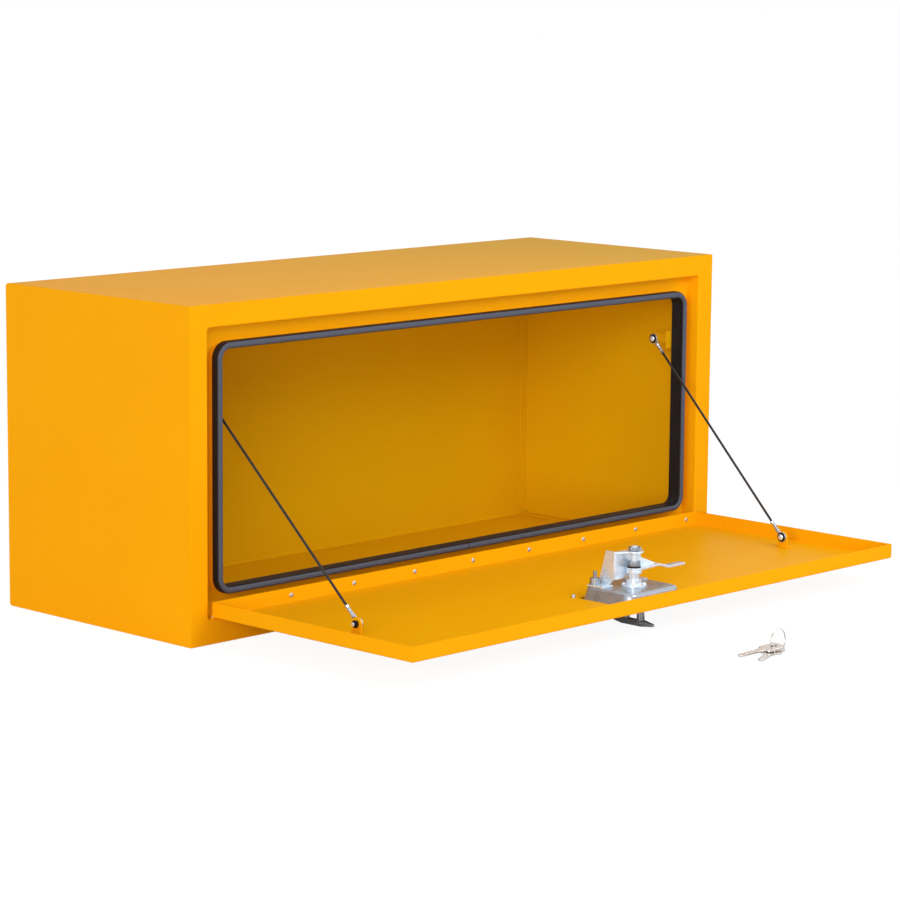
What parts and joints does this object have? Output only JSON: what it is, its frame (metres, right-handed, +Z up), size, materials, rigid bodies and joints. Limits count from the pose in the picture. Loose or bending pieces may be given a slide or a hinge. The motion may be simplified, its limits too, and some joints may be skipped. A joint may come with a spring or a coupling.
{
  "type": "truck toolbox",
  "caption": "Steel truck toolbox with a drop-down front door on a piano hinge, stay cables, a door seal and a folding T-handle latch with its keys.",
  "frame": {"origin": "centre of the closed box's base, on the surface it stands on", "axes": "+X to the right seen from the front, +Y from the door to the back, +Z up; drawn with the door open"},
  "size_m": [0.914, 0.8213, 0.39],
  "materials": {
    "paint": "smooth satin powder coat on 1.5 mm steel",
    "zinc_steel": "bright zinc plate",
    "bright_steel": "polished steel",
    "nickel": "nickel plate",
    "brass": "machined",
    "seal_rubber": "extruded bulb seal",
    "cable_coat": "vinyl coat over wire rope"
  },
  "bodies": {
    "box": {"body_wrap": "paint", "end_panel_left": "paint", "end_panel_right": "paint", "front_face": "paint", "recess_top": "paint", "recess_sill": "paint", "recess_side_left": "paint", "recess_side_right": "paint", "gutter_floor": "paint", "opening_lip": "paint", "door_seal": "seal_rubber", "cam_keeper": "paint", "hinge_frame_leaf": "paint", "hinge_pin": "zinc_steel", "frame_leaf_rivets": "zinc_steel", "upper_tab_left": "paint", "upper_tab_right": "paint", "upper_eye_left": "bright_steel", "upper_eye_right": "bright_steel", "upper_bolt_left": "zinc_steel", "upper_bolt_right": "zinc_steel", "cable_left": "cable_coat", "cable_right": "cable_coat"},
    "door": {"door_sheet": "paint", "door_edge_front": "paint", "door_edge_back": "paint", "door_edge_left": "paint", "door_edge_right": "paint", "hinge_door_leaf": "paint", "door_leaf_rivets": "zinc_steel", "lower_tab_left": "paint", "lower_tab_right": "paint", "lower_eye_left": "bright_steel", "lower_eye_right": "bright_steel", "lower_bolt_left": "zinc_steel", "lower_bolt_right": "zinc_steel", "latch_gasket": "seal_rubber", "latch_dish": "bright_steel", "dish_rivets": "zinc_steel", "latch_bushing": "zinc_steel", "bushing_screws": "zinc_steel", "latch_bracket": "zinc_steel", "bracket_studs": "zinc_steel"},
    "latch": {"latch_shaft": "zinc_steel", "latch_cam": "zinc_steel", "cam_washer": "zinc_steel", "cam_nut": "zinc_steel", "shaft_nut": "zinc_steel", "handle_pins": "zinc_steel"},
    "handle": {"t_handle": "bright_steel"},
    "plug": {"lock_plug": "brass"},
    "keys": {"key_1": "nickel", "key_2": "nickel", "key_ring": "nickel"}
  },
  "joints": [
    {"name": "door_hinge", "type": "hinge", "parent": "box", "child": "door", "pos_m": [0, -0.165, 0.03215], "axis": [-1, 0, 0], "range_deg": [0, 90], "deforming": ["cable_left", "cable_right"]},
    {"name": "latch_turn", "type": "hinge", "parent": "door", "child": "latch", "pos_m": [0, -0.431, 0.048], "axis": [0, 0, -1], "range_deg": [0, 90]},
    {"name": "handle_fold", "type": "hinge", "parent": "latch", "child": "handle", "pos_m": [0, -0.431, 0.037], "axis": [0, 1, 0], "range_deg": [0, 90]},
    {"name": "lock_turn", "type": "hinge", "parent": "latch", "child": "plug", "pos_m": [0, -0.431, 0.033], "axis": [0, 0, 1], "range_deg": [0, 90]},
    {"name": "keys_lift", "type": "slide", "parent": "box", "child": "keys", "axis": [0, 0, 1], "range_m": [0, 0.08]}
  ]
}
